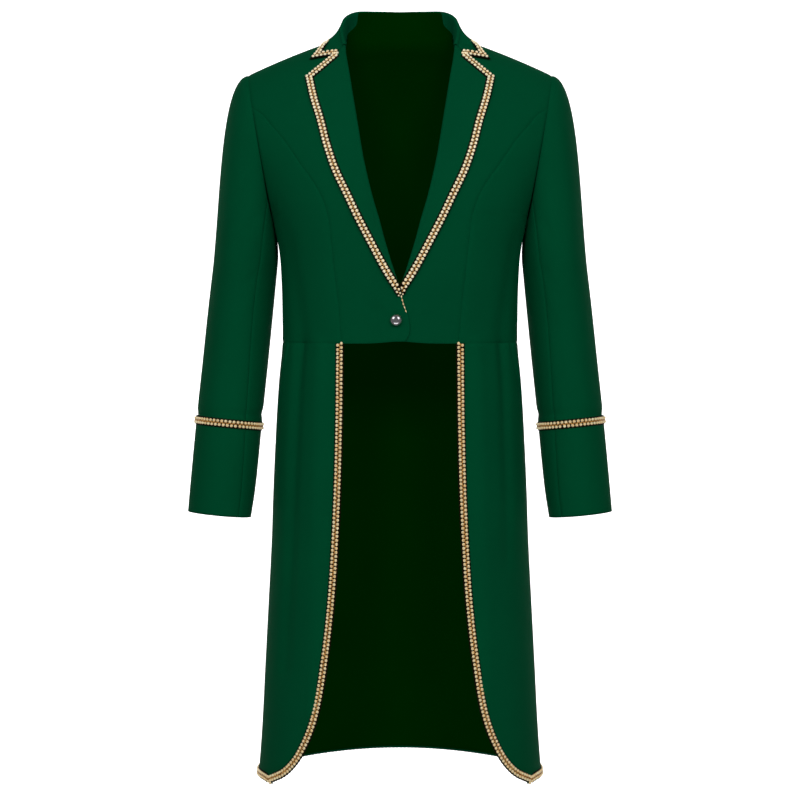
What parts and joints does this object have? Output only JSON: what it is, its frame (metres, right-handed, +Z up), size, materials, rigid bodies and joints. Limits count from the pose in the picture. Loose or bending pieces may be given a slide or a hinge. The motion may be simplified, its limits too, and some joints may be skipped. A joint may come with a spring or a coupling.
{
  "type": "tailcoat",
  "caption": "Fitted costume tailcoat cut away at the front waist, with long curved tails, notched collar, gold gimp braid along its edges and cuffs, and a dome button; hollow as worn.",
  "frame": {"origin": "midway between the two neck points of the shoulder seams, in the open neck, where the wearer's shoulders hold the coat", "axes": "+Z up, towards the top of the collar; +X to the wearer's left; the open front faces -Y"},
  "size_m": [0.61, 0.2884, 1.1125],
  "materials": {
    "coat_cloth": "fine smooth green suiting with a soft sheen",
    "lining": "dark green satin lining",
    "gold_braid": "gimp braid looped from gold metallised cord, with a dark edge",
    "button_metal": "polished silver-coloured dome"
  },
  "bodies": {
    "root": {"front_left": "coat_cloth", "front_right": "coat_cloth", "side_front_left": "coat_cloth", "side_front_right": "coat_cloth", "back_left": "coat_cloth", "back_right": "coat_cloth", "tail_front_left": "coat_cloth", "tail_front_right": "coat_cloth", "tail_back_left": "coat_cloth", "tail_back_right": "coat_cloth", "sleeve_upper_left": "coat_cloth", "sleeve_upper_right": "coat_cloth", "sleeve_under_left": "coat_cloth", "sleeve_under_right": "coat_cloth", "lapel_left": "coat_cloth", "lapel_right": "coat_cloth", "collar": "coat_cloth", "lining_back": "lining", "lining_tails": "lining", "braid_lapel_left": "gold_braid", "braid_lapel_right": "gold_braid", "braid_front_edge": "gold_braid", "braid_collar": "gold_braid", "braid_tail_left": "gold_braid", "braid_tail_right": "gold_braid", "braid_cuff_left": "gold_braid", "braid_cuff_right": "gold_braid", "button": "button_metal"}
  },
  "joints": []
}
